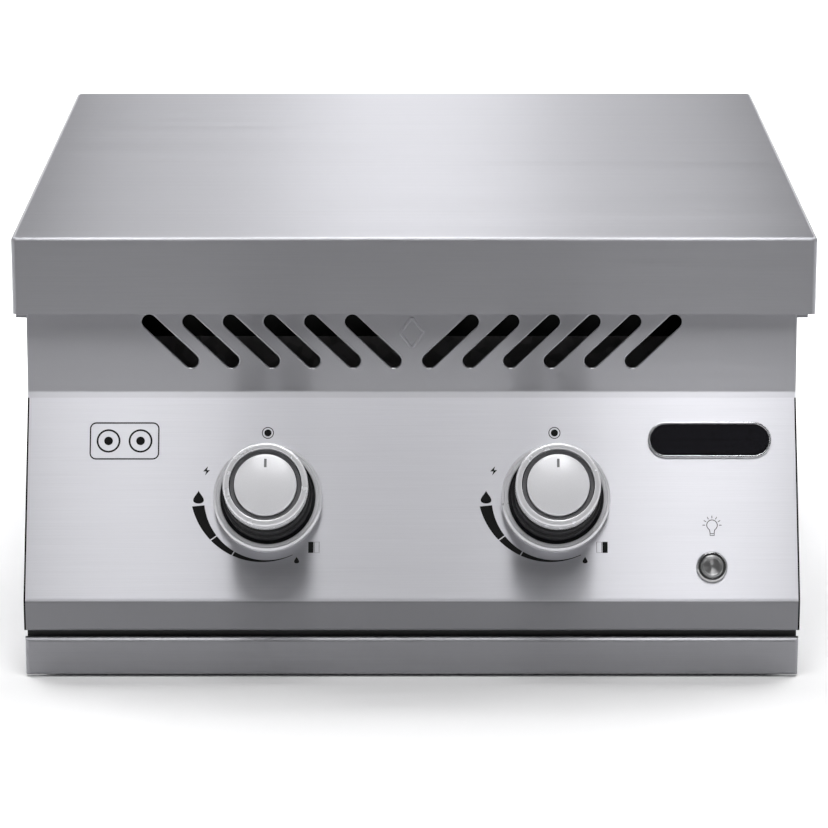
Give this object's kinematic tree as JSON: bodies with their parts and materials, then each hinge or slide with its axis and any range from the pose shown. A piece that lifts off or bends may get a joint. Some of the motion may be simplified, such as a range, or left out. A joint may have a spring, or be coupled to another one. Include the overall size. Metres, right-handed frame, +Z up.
{
  "type": "built-in side burner",
  "caption": "Drop-in outdoor kitchen side burner: lift-off steel cover, sloped control panel with push-turn knobs, light button and pull-out drip tray.",
  "frame": {"origin": "on the standing surface, at the middle of the closed burner's width and depth", "axes": "+X to the user's right, +Y towards the back, +Z up; the control panel faces -Y"},
  "size_m": [0.4798, 0.5472, 0.2571],
  "materials": {
    "stainless_brushed": "brushed",
    "stainless_plain": "mill",
    "galvanised": "dull zinc",
    "black_steel": "matt black",
    "zinc_satin": "satin chrome",
    "bright_chrome": "polished chrome",
    "knob_rubber": "matt",
    "brass": "turned",
    "cast_iron": "cast",
    "grate_steel": "electropolished rod",
    "ceramic": "glazed",
    "black_plastic": "moulded",
    "light_guide": "frosted",
    "lead_silicone": "silicone sleeve",
    "spring_steel": "drawn wire",
    "bumper_silicone": "silicone",
    "plate_black": "gloss"
  },
  "bodies": {
    "body": {"burner_pan": "stainless_plain", "chassis_back_wall": "stainless_plain", "control_panel": "stainless_brushed", "cover_bumpers": "bumper_silicone", "deck": "stainless_plain", "fixing_screws": "zinc_satin", "front_crossmember": "black_steel", "gas_inlet": "brass", "gas_manifold": "galvanised", "grate_rail": "stainless_plain", "heat_shield": "galvanised", "ignition_leads": "lead_silicone", "inlet_locknut": "brass", "inlet_pipe": "galvanised", "left_burner_bowl": "cast_iron", "left_burner_cap": "cast_iron", "left_burner_head": "brass", "left_burner_tube": "galvanised", "left_chassis_side": "stainless_plain", "left_electrode": "ceramic", "left_knob_bezel": "zinc_satin", "left_panel_end": "stainless_brushed", "left_valve_body": "brass", "left_valve_spring": "spring_steel", "light_rings": "light_guide", "nameplate": "plate_black", "orifices": "brass", "right_burner_bowl": "cast_iron", "right_burner_cap": "cast_iron", "right_burner_head": "brass", "right_burner_tube": "galvanised", "right_chassis_side": "stainless_plain", "right_electrode": "ceramic", "right_knob_bezel": "zinc_satin", "right_panel_end": "stainless_brushed", "right_valve_body": "brass", "right_valve_spring": "spring_steel", "spark_module": "black_plastic", "switch_housing": "zinc_satin", "switch_nut": "zinc_satin", "switch_spring": "spring_steel", "tray_runners": "galvanised"},
    "cover": {"cover_shell": "stainless_brushed", "cover_rests": "stainless_plain"},
    "left_grate": {"left_cooking_grate": "grate_steel"},
    "right_grate": {"right_cooking_grate": "grate_steel"},
    "tray": {"drip_tray": "stainless_plain", "drip_tray_front": "stainless_brushed"},
    "left_valve": {"left_valve_plug": "brass"},
    "right_valve": {"right_valve_plug": "brass"},
    "left_knob": {"left_valve_stem": "spring_steel", "left_knob_body": "knob_rubber", "left_knob_ring": "bright_chrome", "left_knob_cap": "zinc_satin"},
    "right_knob": {"right_valve_stem": "spring_steel", "right_knob_body": "knob_rubber", "right_knob_ring": "bright_chrome", "right_knob_cap": "zinc_satin"},
    "light_button": {"switch_button": "zinc_satin"}
  },
  "joints": [
    {"name": "cover_lift", "type": "slide", "parent": "body", "child": "cover", "axis": [0, 0, 1], "range_m": [0, 0.25]},
    {"name": "tray_pull", "type": "slide", "parent": "body", "child": "tray", "axis": [0, -1, 0], "range_m": [0, 0.3]},
    {"name": "left_grate_lift", "type": "slide", "parent": "body", "child": "left_grate", "axis": [0, 0, 1], "range_m": [0, 0.02]},
    {"name": "left_knob_turn", "type": "hinge", "parent": "body", "child": "left_valve", "pos_m": [-0.086, -0.22123, 0.10267], "axis": [0, -0.8889, 0.4581], "range_deg": [0, 205]},
    {"name": "left_knob_push", "type": "slide", "parent": "left_valve", "child": "left_knob", "axis": [0, 0.8889, -0.4581], "range_m": [0, 0.003], "stiffness_N_per_m": 1500, "springref_m": -0.003, "deforming": ["left_valve_spring"]},
    {"name": "right_grate_lift", "type": "slide", "parent": "body", "child": "right_grate", "axis": [0, 0, 1], "range_m": [0, 0.02]},
    {"name": "right_knob_turn", "type": "hinge", "parent": "body", "child": "right_valve", "pos_m": [0.086, -0.22123, 0.10267], "axis": [0, -0.8889, 0.4581], "range_deg": [0, 205]},
    {"name": "right_knob_push", "type": "slide", "parent": "right_valve", "child": "right_knob", "axis": [0, 0.8889, -0.4581], "range_m": [0, 0.003], "stiffness_N_per_m": 1500, "springref_m": -0.003, "deforming": ["right_valve_spring"]},
    {"name": "light_button_push", "type": "slide", "parent": "body", "child": "light_button", "axis": [0, 0.8889, -0.4581], "range_m": [0, 0.0015], "stiffness_N_per_m": 1000, "springref_m": -0.002, "deforming": ["switch_spring"]}
  ]
}
